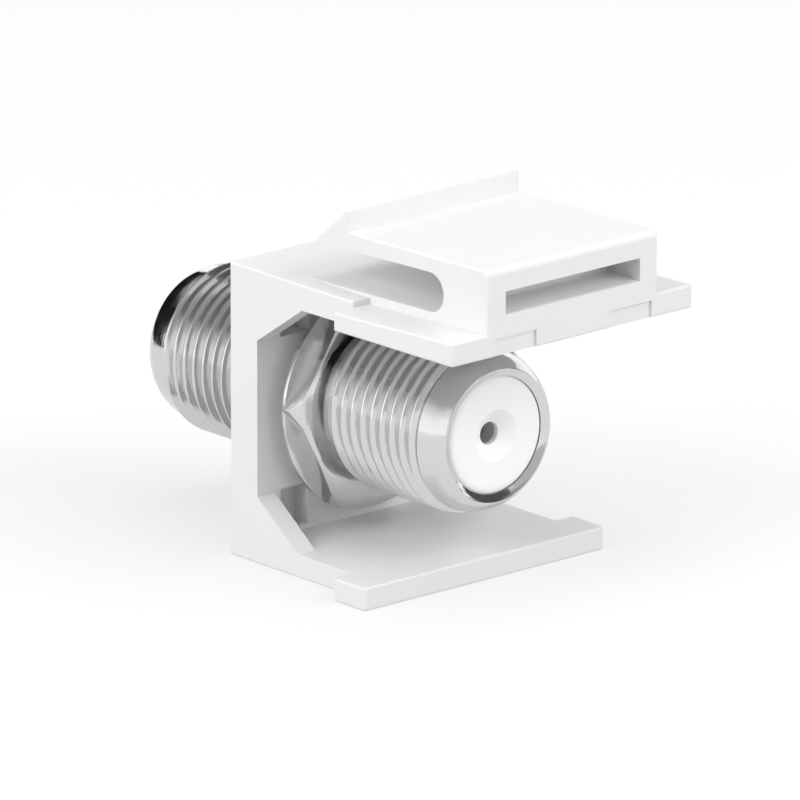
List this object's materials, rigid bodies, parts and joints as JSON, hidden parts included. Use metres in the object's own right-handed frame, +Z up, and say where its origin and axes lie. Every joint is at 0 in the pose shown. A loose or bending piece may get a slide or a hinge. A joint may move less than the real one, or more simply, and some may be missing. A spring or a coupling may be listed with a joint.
{
  "type": "f connector feedthrough",
  "caption": "Snap-in wall-plate insert that holds a threaded coaxial coupler, joining an F plug at the front to one at the rear.",
  "frame": {"origin": "where the coupler's axis meets the insert's front face, 8.35 mm above the insert's underside", "axes": "+Y along the coupler, from the front port that faces the room to the rear port behind the plate; +X across the insert; +Z up, towards the latch"},
  "size_m": [0.0172, 0.0304, 0.0208],
  "materials": {
    "white_plastic": "white moulded ABS with a soft sheen",
    "nickel_plate": "bright nickel plate over turned brass",
    "white_dielectric": "smooth white moulded insulator",
    "contact_brass": "tin-bright drilled and slotted brass"
  },
  "bodies": {
    "root": {"keystone_housing": "white_plastic", "coupler_body": "nickel_plate", "rear_insulator": "white_dielectric", "front_insulator": "white_dielectric", "centre_contact": "contact_brass"}
  },
  "joints": []
}
